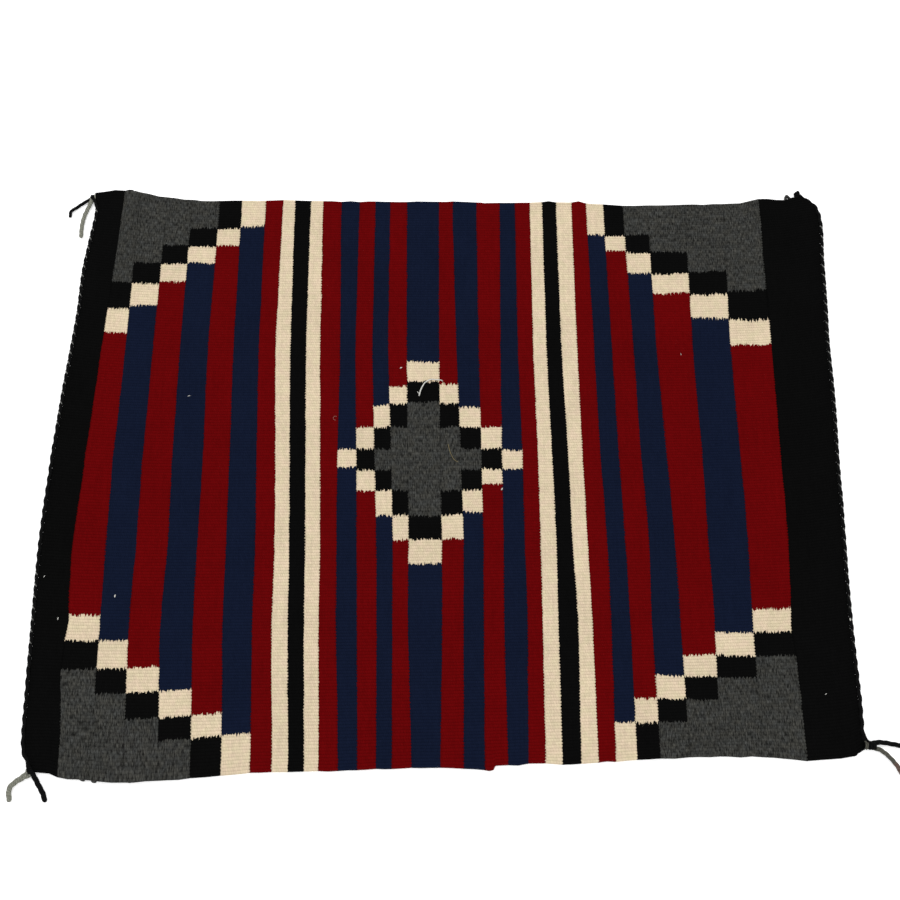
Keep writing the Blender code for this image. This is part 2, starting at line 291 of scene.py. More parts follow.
def lay_out_cloth():
    """The cloth's crossings of mesh rows and columns: places, half thickness and chart values."""
    chart, ends, widths = chart_columns()
    rows = RIBS * ROWS_PER_RIB + 1
    share = np.linspace(0, 1, rows)[:, None]
    rib = share * RIBS

    left = SmoothLine(LEFT_EDGE).spread(rows) - (END_STRETCH, 0)
    right = SmoothLine(RIGHT_EDGE).spread(rows) + (END_STRETCH, 0)
    front = SmoothLine(FRONT_EDGE).spread(600)
    back = SmoothLine(BACK_EDGE).spread(600)

    guess_y = np.interp(0, front[:, 0], front[:, 1]) * (1 - share) + np.interp(0, back[:, 0], back[:, 1]) * share
    joins = np.array([np.interp(guess_y[:, 0], JOIN_DEPTHS, join) for join in JOINS]).T
    joins = smooth_down(joins)
    for number, depth, reach, shift in JOIN_KINKS:
        joins[:, number] += shift * np.clip(1 - np.abs(guess_y[:, 0] - depth) / reach, 0, 1)
    lines = np.hstack([left[:, :1], joins, right[:, :1]])
    x = np.array([np.interp(chart, np.arange(STRIPES + 1), line) for line in lines])

    low = np.interp(x, *zip(*FRONT_LEVEL))
    high = np.interp(x, *zip(*BACK_LEVEL))
    y = low * (1 - share) + high * share
    y = y + (np.interp(x, front[:, 0], front[:, 1]) - low) * (1 - share) ** BULGE_FADE
    y = y + (np.interp(x, back[:, 0], back[:, 1]) - high) * share**BULGE_FADE
    across = (x - left[:, :1]) / (right[:, :1] - left[:, :1])
    bow_left, bow_right = left[:, 1:] - y[:, :1], right[:, 1:] - y[:, -1:]
    y = y + bow_left * (1 - across) ** BOW_FADE + bow_right * across**BOW_FADE

    draw = np.random.RandomState(11)
    wander = waves(draw, x, rib, 0.22)
    y = y + wander * smooth_step(0, 4, np.minimum(rib, RIBS - rib))
    turns = np.interp(chart, *zip(*FRONT_TURNS))[None, :] + draw.uniform(-0.55, 0.55, (1, len(chart)))
    y = y - turns * np.clip(1 - rib / TURN_DEPTH_RIBS, 0, 1) ** 2
    turns = np.interp(chart, *zip(*BACK_TURNS))[None, :] + draw.uniform(-0.65, 0.65, (1, len(chart)))
    y = y + turns * np.clip(1 - (RIBS - rib) / TURN_DEPTH_RIBS, 0, 1) ** 2

    in_rib = np.arange(rows)[:, None] % ROWS_PER_RIB
    valley = np.where(in_rib == 0, 1.0, 0.0) * smooth_step(0, 1, np.minimum(rib, RIBS - rib))
    end_bulge = np.where(in_rib == 0, -0.3, 0.35)
    from_end = np.minimum(across, 1 - across) * 905
    outward = np.where(across < 0.5, -1.0, 1.0)
    x = x + outward * end_bulge * np.clip(1 - from_end / 3, 0, 1) * smooth_step(0, 2, np.minimum(rib, RIBS - rib))

    pitch = 3.45
    from_side = np.minimum(rib, RIBS - rib) * pitch
    half = HALF_THICKNESS * round_edge(from_side) * round_edge(from_end)
    half = half - RIB_VALLEY * valley * round_edge(from_end)
    half = half + waves(draw, x, rib, 0.05)
    lift = rise(x, y) + HALF_THICKNESS

    mid = np.interp(chart, np.arange(STRIPES + 1), ends)
    width = np.interp(chart, np.arange(STRIPES) + 0.5, widths)
    right_share = smooth_step(12, 20, chart)[None, :]
    corner = corner_steps(rib, chart, "left") * (1 - right_share) + corner_steps(rib, chart, "right") * right_share
    grid = np.ones_like(x)
    weave = np.stack([chart * grid, rib * grid, mid * grid], axis=-1)
    steps = np.stack([corner * grid, diamond_steps(rib) * grid, width * grid], axis=-1)
    return x, y, lift, half, weave, steps


def smooth_down(lines):
    """Rounds the bends of the lines at the depths where they were set."""
    reach = 45
    padded = np.pad(lines, ((reach, reach), (0, 0)), mode="reflect", reflect_type="odd")
    weights = np.hanning(2 * reach + 1)
    weights /= weights.sum()
    return np.array([np.convolve(padded[:, i], weights, mode="valid") for i in range(lines.shape[1])]).T


def waves(draw, x, rib, size):
    """Gentle wandering along each rib, a little different from rib to rib."""
    number = np.floor(rib).astype(int).clip(0, RIBS)
    total = np.zeros_like(x)
    for length, weight in ((61, 0.5), (37, 0.3), (23, 0.2)):
        phase = draw.uniform(0, 2 * math.pi, RIBS + 1)
        phase = phase * 0.4 + np.convolve(phase, np.ones(9) / 9, mode="same") * 2
        total += weight * np.sin(2 * math.pi * x / length + phase[number])
    return size * total


def make_cloth(finish):
    """One closed mesh with both faces of the weave and the rounded edges between them."""
    x, y, lift, half, weave, steps = lay_out_cloth()
    rows, columns = x.shape
    top = np.stack([x, y, lift + half], axis=-1).reshape(-1, 3)
    bottom = np.stack([x, y, lift - half], axis=-1).reshape(-1, 3)
    points = np.vstack([top, bottom]) * MM

    index = np.arange(rows * columns).reshape(rows, columns)
    under = index + rows * columns
    quads = [
        quads_between(index[:-1], index[1:]),
        quads_between(under[1:], under[:-1]),
        quads_between(under[:1], index[:1]),
        quads_between(index[-1:], under[-1:]),
        quads_between(index[:, :1].T, under[:, :1].T),
        quads_between(under[:, -1:].T, index[:, -1:].T),
    ]
    mesh = bpy.data.meshes.new("tapestry_weave")
    mesh.from_pydata(points.tolist(), [], np.vstack(quads).tolist())
    for name, values in (("weave", weave), ("steps", steps)):
        attribute = mesh.attributes.new(name, "FLOAT_VECTOR", "POINT")
        both = np.vstack([values.reshape(-1, 3)] * 2).astype(np.float32)
        attribute.data.foreach_set("vector", both.ravel())
    mesh.update()
    mesh.shade_smooth()
    cloth = bpy.data.objects.new("tapestry_weave", mesh)
    bpy.context.scene.collection.objects.link(cloth)
    mesh.materials.append(finish)
    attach(cloth, "root")
    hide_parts("woven_cloth")
    return cloth


def quads_between(low, high):
    """Faces between two arrays of rows, turned so that they face up when high is beyond low."""
    return np.stack([low[:, :-1], low[:, 1:], high[:, 1:], high[:, :-1]], axis=-1).reshape(-1, 4)


class Value:
    """A socket that takes part in sums: each operator adds one Math node."""

    def __init__(self, recipe, socket):
        self.recipe = recipe
        self.socket = socket

    def maths(self, operation, *values):
        return self.recipe.node("ShaderNodeMath", {"operation": operation}, values)

    def __add__(self, other):
        return self.maths("ADD", self, other)

    def __sub__(self, other):
        return self.maths("SUBTRACT", self, other)

    def __rsub__(self, other):
        return self.maths("SUBTRACT", other, self)

    def __mul__(self, other):
        return self.maths("MULTIPLY", self, other)

    def __truediv__(self, other):
        return self.maths("DIVIDE", self, other)

    def __rtruediv__(self, other):
        return self.maths("DIVIDE", other, self)

    def __pow__(self, other):
        return self.maths("POWER", self, other)

    def __mod__(self, other):
        return self.maths("FLOORED_MODULO", self, other)

    def __gt__(self, other):
        return self.maths("GREATER_THAN", self, other)

    def __lt__(self, other):
        return self.maths("LESS_THAN", self, other)

    __radd__ = __add__
    __rmul__ = __mul__

    def floor(self):
        return self.maths("FLOOR", self)

    def fraction(self):
        return self.maths("FRACT", self)

    def size(self):
        return self.maths("ABSOLUTE", self)

    def sine(self):
        return self.maths("SINE", self)

    def highest(self, other):
        return self.maths("MAXIMUM", self, other)

    def lowest(self, other):
        return self.maths("MINIMUM", self, other)


class Recipe:
    """A material and the nodes that make it."""

    def __init__(self, name, roughness, specular, sheen=0.0):
        self.material = bpy.data.materials.new(name)
        self.material.use_nodes = True
        self.tree = self.material.node_tree
        self.shader = self.tree.nodes["Principled BSDF"]
        self.set("Roughness", roughness)
        self.set("Specular IOR Level", specular)
        self.set("Sheen Weight", sheen)

    def set(self, name, value):
        self.feed(self.shader.inputs[name], value)

    def feed(self, socket, value):
        if isinstance(value, Value):
            self.tree.links.new(value.socket, socket)
        elif isinstance(value, tuple) and socket.type == "RGBA":
            socket.default_value = (*value, 1.0)
        else:
            socket.default_value = value

    def node(self, kind, settings=None, inputs=(), output=0):
        """Adds a node: its settings first, then the values or links of its sockets."""
        made = self.tree.nodes.new(kind)
        for name, value in (settings or {}).items():
            setattr(made, name, value)
        pairs = inputs.items() if isinstance(inputs, dict) else enumerate(inputs)
        for key, value in pairs:
            self.feed(made.inputs[key], value)
        return Value(self, made.outputs[output])

    def parts(self, vector):
        """The three numbers of a vector."""
        split = self.node("ShaderNodeSeparateXYZ", None, [vector]).socket.node
        return [Value(self, socket) for socket in split.outputs]

    def vector(self, x, y, z):
        return self.node("ShaderNodeCombineXYZ", None, [x, y, z])

    def attribute(self, name):
        return self.node("ShaderNodeAttribute", {"attribute_name": name}, output="Vector")

    def noise(self, place, scale=1.0, detail=2.0, roughness=0.5):
        """Cloudy noise around a half."""
        return self.node("ShaderNodeTexNoise", None, {
            "Vector": place, "Scale": scale, "Detail": detail, "Roughness": roughness})

    def chance(self, place):
        """An even random number for each whole place."""
        return self.node("ShaderNodeTexWhiteNoise", {"noise_dimensions": "3D"}, {"Vector": place})

    def mix(self, mask, low, high):
        """low where the mask is 0 and high where it is 1, both colours."""
        return self.node("ShaderNodeMix", {"data_type": "RGBA"}, {0: mask, 6: low, 7: high}, output=2)

    def shade(self, colour, amount):
        """A colour made lighter or darker by an amount around 1."""
        return self.node("ShaderNodeVectorMath", {"operation": "SCALE"}, {"Vector": colour, "Scale": amount})

    def bump(self, height, strength=1.0):
        """Relief from a height in metres."""
        return self.node("ShaderNodeBump", None, {"Strength": strength, "Distance": 1.0, "Height": height})


# Wool colours
RED = (0.1015, 0.0014, 0.0019)
NAVY = (0.0048, 0.0079, 0.0211)
CREAM_PINK = (0.588, 0.473, 0.342)
CREAM_YELLOW = (0.565, 0.480, 0.326)
BLACK = (0.0026, 0.0026, 0.0026)
GREY_WARM = (0.064, 0.063, 0.055)
GREY_COOL = (0.059, 0.061, 0.058)
GREY_DARK = (0.0095, 0.0095, 0.009)

# Yarns in the weave, mm
BEAD_PITCH = 2.6
TOOTH_PITCH = 4.2
FUZZ_SIZE = 0.16


def weave_finish():
    """Weft-faced wool: stripes, stepped blocks with toothed joins, beads of yarn on every rib, and painted shade
    between ribs, between beads and along the joins.
    """
    wool = Recipe("handwoven_wool", roughness=0.95, specular=0.01)
    chart, rib, along = wool.parts(wool.attribute("weave"))
    corner, diamond, width = wool.parts(wool.attribute("steps"))
    number = rib.floor()
    in_rib = rib.fraction()

    # Each join between two stripes bulges with the ribs and wavers a little
    bulge = ((in_rib * 2 - 1).size() ** 2 - 0.35) * 0.85
    waver = wool.noise(wool.vector(chart.floor() * 7.3, rib * 0.09, 0.0), detail=1.0) - 0.5
    flutter = wool.noise(wool.vector(along * 0.11, rib * 0.55, 3.0), detail=1.0) - 0.5
    place = chart + (bulge + waver * 1.6 + flutter * 1.5) / width
    stripe = (place.floor() - MIDDLE_STRIPE).size()

    # Where two colours meet along a rib their wefts turn round it in turn, like teeth of a comb
    tooth_place = along / TOOTH_PITCH + (wool.noise(wool.vector(along * 0.3, rib * 0.12, 9.0), detail=0.0) - 0.5) * 1.8
    tooth_size = wool.chance(wool.vector(tooth_place.floor(), number / 6, 2.0)) * 0.07 + 0.02
    tooth = ((tooth_place.fraction() * 2 - 1).size() * 2 - 1) * tooth_size
    fuzz = wool.noise(wool.vector(along * 1.1, rib * 0.5, 15.0), detail=2.0, roughness=0.7) - 0.5
    tooth = tooth + fuzz * FUZZ_SIZE
    slope = (wool.noise(wool.vector(along * 0.045, number / 24, 5.0), detail=0.0) - 0.5) * 0.14
    in_front = rib < MIDDLE_RIB
    on_corner = stripe > 8.5
    step = (stripe - 9 - corner + tooth + slope).highest(5 - stripe - diamond + tooth + slope)
    moved = step
    for shifted, front, join, shift in SHIFTED_JOINS:
        here = ((place.floor() - shifted).size() < 0.5) * ((step - join).size() < 0.5)
        here = here * (in_front if front else 1 - in_front) * (1 - on_corner)
        moved = moved + here * shift
    step = moved + on_corner * (1 - in_front) * ((step - 1).size() < 0.5) * BLACK_GROWS

    in_band = stripe > 15.5
    in_line = ((stripe - 7).size() < 1.5)
    mid_line = ((stripe - 7).size() < 0.5)
    on_steps = (step > 0) * (1 - in_band)
    odd = stripe % 2

    is_black = in_band.highest(mid_line).highest(on_steps * (step > 1))
    is_grey = on_steps * (step > 2)
    is_cream = (in_line * (1 - mid_line)).highest(on_steps * (step < 1))

    # Beads of yarn, half a bead apart on neighbouring ribs
    drift = (wool.noise(wool.vector(along * 0.05, rib * 0.05, 1.0), detail=1.0) - 0.5) * 2.0
    bead_place = along / BEAD_PITCH + (number % 2) * 0.5 + drift + (in_rib - 0.5) * 0.16
    bead = bead_place.floor()
    bead_edge = (bead_place.fraction() * 2 - 1).size()
    rib_edge = (in_rib * 2 - 1).size()
    luck = wool.chance(wool.vector(bead, number, 0.0))
    yarn_luck = wool.noise(wool.vector(along * 0.75, rib * 0.05, 4.0), detail=2.0) - 0.5
    fibre = wool.noise(wool.vector(along * 2.2, rib * 3.2, 6.0), detail=3.0, roughness=0.65) - 0.5
    cloud = wool.noise(wool.vector(along * 0.018, rib * 0.06, 8.0), detail=2.0) - 0.5

    # Painted shade: the colour is darkened in the valleys between ribs, between beads, and within 1.3 mm of each join
    # between stripes, on top of the random tone of beads, yarns, fibres and clouds.
    join_gap = (1 - (place.fraction() * 2 - 1).size()) * width / 2
    painted_shade = (rib_edge ** 5) * 0.55 + (bead_edge ** 6) * 0.25 + (1 - join_gap / 1.3).highest(0.0) * 0.8
    brightness_with_painted_shade = 1.055 + (luck - 0.5) * 0.12 + yarn_luck * 0.28 + fibre * 0.32 + cloud * 0.22 - painted_shade * 0.38

    tint = wool.noise(wool.vector(along * 0.10, rib * 0.34, 20.0), detail=2.0)
    tint = ((tint - 0.5) * 3.5 + 0.5).highest(0.0).lowest(1.0)
    heather = wool.noise(wool.vector(along * 0.80, rib * 0.60, 12.0), detail=3.0, roughness=0.6)
    heather = ((heather - 0.5) * 2.9 + 0.45 + (luck - 0.5) * 0.25).highest(0.0).lowest(1.0)
    grey = wool.mix(heather, GREY_DARK, wool.mix(tint, GREY_WARM, GREY_COOL))
    field = wool.mix(odd, NAVY, RED)
    colour = wool.mix(is_cream, field, wool.mix(tint, CREAM_PINK, CREAM_YELLOW))
    colour = wool.mix(is_black, colour, BLACK)
    colour = wool.mix(is_grey, colour, grey)
    wool.set("Base Color", wool.shade(colour, brightness_with_painted_shade))

    bead_height = (1 - bead_edge ** 3) * 0.22 + (luck - 0.5) * 0.06
    rib_height = (1 - rib_edge ** 2) * 0.25
    height = (bead_height + rib_height + fibre * 0.22) * MM
    wool.set("Normal", wool.bump(height))
    return wool.material


def yarn_finish(name, light, dark, streak, end_colour=None, end_from=0.0):
    """Twisted yarn: slanting lines of fibre in two tones with painted shade in the grooves between them, and its end,
    from so many mm, in another.
    """
    yarn = Recipe(name, roughness=0.9, specular=0.05)
    around, along, spare = yarn.parts(yarn.node("ShaderNodeUVMap", {"uv_map": "yarn"}))
    twist = (along / 3.0 + around * 2).fraction()
    line = (twist * 2 - 1).size()
    fibre = yarn.noise(yarn.vector(around * 9, along * 0.5 + around * 4, 1.0), detail=3.0, roughness=0.7)
    mask = ((fibre - 0.5) * streak + 0.5).highest(0.0).lowest(1.0)
    # Painted shade: darker towards the groove between two twists of the yarn.
    brightness_with_painted_shade = 1.05 - (line ** 4) * 0.45
    colour = yarn.mix(mask, dark, light)
    if end_colour:
        colour = yarn.mix(((along - end_from) / 4).highest(0.0).lowest(1.0), colour, end_colour)
    yarn.set("Base Color", yarn.shade(colour, brightness_with_painted_shade))
    yarn.set("Normal", yarn.bump(((1 - line ** 2) * 0.25 + fibre * 0.15) * MM))
    return yarn.material


class YarnWork:
    """Collects strands and makes one mesh of them."""

    def __init__(self, name):
        self.name = name
        self.bm = bmesh.new()
        self.uv = self.bm.loops.layers.uv.new("yarn")

    def strand(self, centres, radii, sides=8, finish=0):
        """A closed tube along a list of points, with its own radius at each."""
        count = len(centres)
        side = None
        rings = []
        travelled = [0.0]
        for index, centre in enumerate(centres):
            ahead = (centres[min(index + 1, count - 1)] - centres[max(index - 1, 0)]).normalized()
            if side is None:
                start = Vector((0, 0, 1)) if abs(ahead.z) < 0.9 else Vector((1, 0, 0))
                side = ahead.cross(start).normalized()
            side = (side - ahead * side.dot(ahead)).normalized()
            up = ahead.cross(side)
            if index:
                travelled.append(travelled[-1] + (centre - centres[index - 1]).length / MM)
            ring = []
            for corner in range(sides):
                turn = 2 * math.pi * corner / sides
                offset = side * math.cos(turn) + up * math.sin(turn)
                ring.append(self.bm.verts.new(centre + offset * radii[index]))
            rings.append(ring)
        for index in range(count - 1):
            for corner in range(sides):
                beside = (corner + 1) % sides
                face = self.bm.faces.new((rings[index][corner], rings[index][beside],
                                          rings[index + 1][beside], rings[index + 1][corner]))
                face.material_index = finish
                low, high = travelled[index], travelled[index + 1]
                places = ((corner, low), (corner + 1, low), (corner + 1, high), (corner, high))
                for loop, (step, distance) in zip(face.loops, places):
                    loop[self.uv].uv = (step / sides, distance)
        for ring, distance in ((rings[0][::-1], travelled[0]), (rings[-1], travelled[-1])):
            face = self.bm.faces.new(ring)
            face.material_index = finish
            for loop in face.loops:
                loop[self.uv].uv = (0.5, distance)

    def finish(self, finishes, node, slot):
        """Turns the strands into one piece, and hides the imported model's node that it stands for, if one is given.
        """
        bmesh.ops.recalc_face_normals(self.bm, faces=self.bm.faces)
        mesh = bpy.data.meshes.new(self.name)
        self.bm.to_mesh(mesh)
        self.bm.free()
        mesh.shade_smooth()
        piece = bpy.data.objects.new(self.name, mesh)
        bpy.context.scene.collection.objects.link(piece)
        for finish in finishes:
            mesh.materials.append(finish)
        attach(piece, "root")
        if node:
            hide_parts(node)
        return piece


# Two-ply end cords, mm
CORD_RADIUS = 2.6
CORD_PITCH = 13
PLIES = {
    "black": {"radius": 2.2, "offset": 0.5, "phase": 0.0},
    "cord_grey": {"radius": 0.72, "offset": 1.95, "phase": math.pi},
}
GREY_INNER_SHARE = 0.45
GREY_UP_SHARE = 0.66
TUCK_LENGTH = 46
TUCK_OFFSET = 2.6
CORD_TO_CLOTH = 0.5
CORD_GUIDE_STEP = 12
CORD_SETTLE_LENGTH = 26
CORD_STEP = 1.2

# One row for each corner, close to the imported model's. Places are x mm, y mm; radii are mm
TASSELS = {
    "back_left_tassel": {
        "knot": (-463.3, 359.5), "knot_radius": 3.4, "black_radius": 2.1, "grey_radius": 2.6,
        "facing": 188, "wraps": (-1.8, 1.4), "ring": (-3.9, -3.6), "grey": "light_grey", "spread": 0.9,
        "black_tail": [(-467.6, 356.3), (-475.5, 350.4), (-483.2, 343.9), (-487.9, 340.3), (-488.8, 336),
                       (-488.4, 331)],
        "grey_tail": [(-464.3, 354.0), (-467.1, 344.5), (-470.4, 333.8), (-472.2, 321), (-472.1, 309.5),
                      (-471.6, 302)],
    },
    "front_left_tassel": {
        "knot": (-455.2, -343.2), "knot_radius": 3.6, "black_radius": 2.9, "grey_radius": 2.8,
        "facing": 297, "wraps": (-3.0, 2.6), "ring": None, "grey": "light_grey", "spread": 2.4,
        "black_tail": [(-451.7, -347.0), (-448.9, -350.9), (-444.8, -357.2), (-439.8, -364.6), (-436.9, -370.5),
                       (-435.5, -375.2)],
        "grey_tail": [(-457.0, -346.3), (-461.9, -349.8), (-467.9, -353.7), (-473.5, -358.7), (-475.3, -363.5),
                      (-474.6, -369), (-473.3, -375.2)],
    },
    "front_right_tassel": {
        "knot": (446.2, -310.8), "knot_radius": 4.9, "black_radius": 2.8, "grey_radius": 2.5,
        "facing": -2, "wraps": (-4.2, 4.6), "ring": (-6.6, -4.6), "grey": "brown_grey", "spread": 0.4,
        "black_tail": [(450.5, -307.8), (457, -307.2), (463.5, -307.8), (470.9, -309.1), (478.2, -310.4),
                       (489, -313)],
        "grey_tail": [(450.5, -313.2), (455.7, -314.7), (461.0, -318.2), (467, -324.2), (471.7, -330.2),
                      (474.8, -335.9), (477.5, -342.5)],
    },
    # The back-right tassel's grey tail has a dark grey finish as painted shade: it is the same light grey yarn as the
    # other tails, darkened as if in shadow.
    "back_right_tassel": {
        "knot": (428.0, 370.2), "knot_radius": 4.1, "black_radius": 2.1, "grey_radius": 1.8,
        "facing": 90, "wraps": (-2.6, 2.8), "ring": None, "grey": "dark_grey", "spread": 0.0,
        "black_tail": [(428, 365), (428.6, 357), (430.5, 346), (431.5, 335), (430, 326)],
        "grey_tail": [(425.5, 365), (421.5, 363.2), (418.2, 366.6), (415.4, 369.2), (414.0, 366.6), (414.0, 360),
                      (415, 349), (417, 338), (417, 328)],
    },
}
END_CORDS = {
    "left_end_cord": {"edge": LEFT_EDGE, "outward": -1, "front_knot": "front_left_tassel",
                      "back_knot": "back_left_tassel", "front_margin": 12, "back_margin": 17,
                      "grey_shows": [(-250, 0.0), (-228, 0.8), (-130, 0.9), (-105, 0.35), (30, 0.35), (60, 0.95),
                                     (345, 0.95), (352, 0.3)]},
    "right_end_cord": {"edge": RIGHT_EDGE, "outward": 1, "front_knot": "front_right_tassel",
                       "back_knot": "back_right_tassel", "front_margin": 16, "back_margin": 7,
                       "grey_shows": [(-290, 0.5), (-200, 0.75), (-100, 0.85), (-60, 0.8), (100, 0.85), (150, 0.95),
                                      (325, 0.95), (345, 0.0)]},
}


def knot_centre(name):
    row = TASSELS[name]
    return Vector((row["knot"][0], row["knot"][1], row["knot_radius"])) * MM


def height_at(place):
    return float(rise(np.array([place.x / MM]), np.array([place.y / MM]))[0]) * MM


def cord_path(row):
    """Runs from knot to knot just outside the cloth's edge, on whatever height the cloth has."""
    edge = SmoothLine([(x * MM, y * MM) for x, y in row["edge"]])
    offset = (CORD_RADIUS + CORD_TO_CLOTH) * MM
    start, end = row["front_margin"] * MM, edge.length - row["back_margin"] * MM
    count = round((end - start) / (CORD_GUIDE_STEP * MM))
    points = [knot_centre(row["front_knot"])]
    for index in range(count + 1):
        distance = start + (end - start) * index / count
        ahead = edge.direction(distance)
        outward = Vector((ahead.y, -ahead.x)) * row["outward"]
        place = edge.at(distance) + outward * offset
        from_end = min(distance - start, end - distance)
        settle = smooth_step(-CORD_GUIDE_STEP * MM, CORD_SETTLE_LENGTH * MM, from_end)
        points.append(Vector((place.x, place.y, CORD_RADIUS * MM + height_at(place) * float(settle))))
    points.append(knot_centre(row["back_knot"]))
    return SmoothLine(points)


def ply_centres(path, step, offset, pitch, phase, outward, shows=None):
    """Centres of one ply that winds round a path, and sinks into it where it shows less."""
    count = max(2, round(path.length / step))
    centres = []
    for index in range(count + 1):
        distance = path.length * index / count
        ahead = path.direction(distance)
        side = ahead.cross(Vector((0, 0, 1))).normalized()
        up = side.cross(ahead)
        turn = 2 * math.pi * distance / pitch + phase
        place = path.at(distance)
        sideways, upwards = math.cos(turn), math.sin(turn)
        if shows:
            share = float(np.interp(place.y / MM, *zip(*shows)))
            sideways *= share * (1.0 if sideways * outward > 0 else GREY_INNER_SHARE)
            upwards *= share * GREY_UP_SHARE
        centres.append(place + (side * sideways + up * upwards) * offset)
    return centres


def make_end_cord(name, row, finishes):
    """A black and a light grey yarn twisted together along one end of the cloth."""
    path = cord_path(row)
    pieces = []
    for colour, ply in PLIES.items():
        work = YarnWork(f"{name}_{colour}_yarn")
        shows = None if colour == "black" else row["grey_shows"]
        offset, phase = ply["offset"] * MM, ply["phase"]
        centres = ply_centres(path, CORD_STEP * MM, offset, CORD_PITCH * MM, phase, row["outward"], shows)
        work.strand(centres, [ply["radius"] * MM] * len(centres))
        if colour == "black":
            for towards in (0, 1):
                tuck_yarn(work, path, towards, -row["outward"])
        pieces.append(work.finish([finishes[colour]], name, "cord_yarn"))
    return pieces


def tuck_yarn(work, path, towards, inward):
    """A black yarn between the cord and the cloth's corner, where the cord leaves the cloth."""
    centres, radii = [], []
    count = 30
    for index in range(count + 1):
        share = index / count
        distance = share * TUCK_LENGTH * MM
        if towards:
            distance = path.length - distance
        ahead = path.direction(distance)
        across = Vector((1, 0, 0)) * inward
        across = (across - ahead * across.dot(ahead)).normalized()
        place = path.at(distance) + across * TUCK_OFFSET * MM * min(share * 4, 1.0)
        centres.append(place - Vector((0, 0, 0.9 * MM)))
        radii.append((1.6 - 0.5 * share) * MM)
    work.strand(centres, radii)


# How far along a tail its strands lie apart, mm
ROOT_LENGTH = 8


def make_tail(work, root, table, radius, finish, spread):
    """A soft yarn of three strands that lies on the floor, its end rounded by wear."""
    path = SmoothLine([Vector((x, y, radius * MM)) for x, y in [root.xy, *(Vector(place) * MM for place in table)]])
    count = round(path.length / (0.7 * MM))
    for strand in range(3):
        centres, radii = [], []
        for index in range(count + 1):
            distance = path.length * index / count
            ahead = path.direction(distance)
            side = ahead.cross(Vector((0, 0, 1))).normalized()
            up = side.cross(ahead)
            turn = 2 * math.pi * (distance / (24 * MM) + strand / 3)
            left = min((path.length - distance) / (radius * 1.1 * MM), 1.0)
            full = math.sqrt(max(1 - (1 - left) ** 2, 0.0))
            offset = radius * 0.34 * MM * full
            apart = 1 + spread * math.exp(-distance / (ROOT_LENGTH * MM))
            centres.append(path.at(distance) + (side * math.cos(turn) * apart + up * math.sin(turn)) * offset)
            radii.append(radius * (0.10 + 0.56 * full) * MM)
        work.strand(centres, radii, 8, finish)


def make_knot(work, centre, row):
    """The end cord's yarns wrapped round themselves: black turns, and a grey one where it shows."""
    facing = math.radians(row["facing"])
    ahead = Vector((math.cos(facing), math.sin(facing), 0))
    side = ahead.cross(Vector((0, 0, 1))).normalized()
    up = Vector((0, 0, 1))
    radius, yarn = row["knot_radius"], row["knot_radius"] * 0.32
    start, end = row["wraps"]
    coils = [(0, start, end, yarn, radius - yarn)]
    if row["ring"] is not None:
        coils.append((1, *row["ring"], 0.85, radius - 0.85))
    for finish, low, high, thick, coil in coils:
        turns = max(1.03, (high - low) / (thick * 1.9))
        steps = round(turns * 16)
        centres = []
        for index in range(steps + 1):
            turn = 2 * math.pi * index / 16 + 0.6
            place = low + (high - low) * index / steps
            from_middle = abs(place - (start + end) / 2) / (end - start + 2 * yarn)
            round_off = 1.0 if finish else math.sqrt(1 - (1.5 * from_middle) ** 2)
            out = (side * math.cos(turn) + up * math.sin(turn)) * coil * round_off
            centres.append(centre + (ahead * place + out) * MM)
        work.strand(centres, [thick * MM] * len(centres), 7, finish)
    heart, radii = [], []
    for index in range(25):
        share = index / 24
        place = start - 3 + (end - start + 3 + yarn) * share
        heart.append(centre + ahead * place * MM)
        radii.append((radius - yarn) * math.sqrt(1.02 - max(share * 4 - 3, 0.0) ** 2) * MM)
    work.strand(heart, radii, 10)


def make_tassel(name, row, finishes):
    """A knot with a black and a grey tail."""
    centre = knot_centre(name)
    work = YarnWork(f"{name}_yarns")
    make_knot(work, centre, row)
    for index, colour in enumerate(("black", "grey")):
        spread = row["spread"] if colour == "grey" else 0.0
        make_tail(work, centre, row[f"{colour}_tail"], row[f"{colour}_radius"], index, spread)
    return work.finish([finishes["black"], finishes[row["grey"]]], name, "tail_yarn")


# Yarn ends and fibres that lie on the cloth. Places are x mm, y mm, mm above the cloth; radii are mm
LOOSE_FIBRES = {
    "loose_yarn_end": {"colour": "white", "radius": 0.78, "tip": 0.55, "line": [
        (-46.3, 91.8, -0.5), (-45.6, 94.0, 0.6), (-44.4, 98.8, 1.2), (-42.1, 103.8, 1.5), (-39.8, 107.7, 1.5),
        (-36.3, 110.5, 1.3), (-31.7, 112.7, 1.0), (-26.3, 112.3, 0.7), (-20.0, 111.8, 0.6), (-18.2, 110.8, -0.3)]},
    "loose_fibre_tip": {"colour": "white", "radius": 0.45, "tip": 0.3, "line": [
        (-46.1, 94.4, -0.2), (-47.4, 95.9, 0.4), (-48.5, 97.1, -0.2)]},
    "straw_fibre": {"colour": "straw", "radius": 0.45, "tip": 0.35, "line": [
        (-11.3, 31.0, -0.2), (-10.8, 28.5, 0.5), (-8.9, 21.1, 1.0), (-7.0, 16.4, 1.0), (-4.6, 12.2, 0.8),
        (-1.4, 9.6, 0.4), (0.6, 9.0, -0.2)]},
    "red_curl": {"colour": "pink", "radius": 0.4, "tip": 0.3, "line": [
        (-143.2, 64.6, -0.2), (-145.4, 64.8, 0.5), (-147.0, 62.6, 0.7), (-146.0, 60.2, 0.5), (-143.8, 60.0, -0.2)]},
}

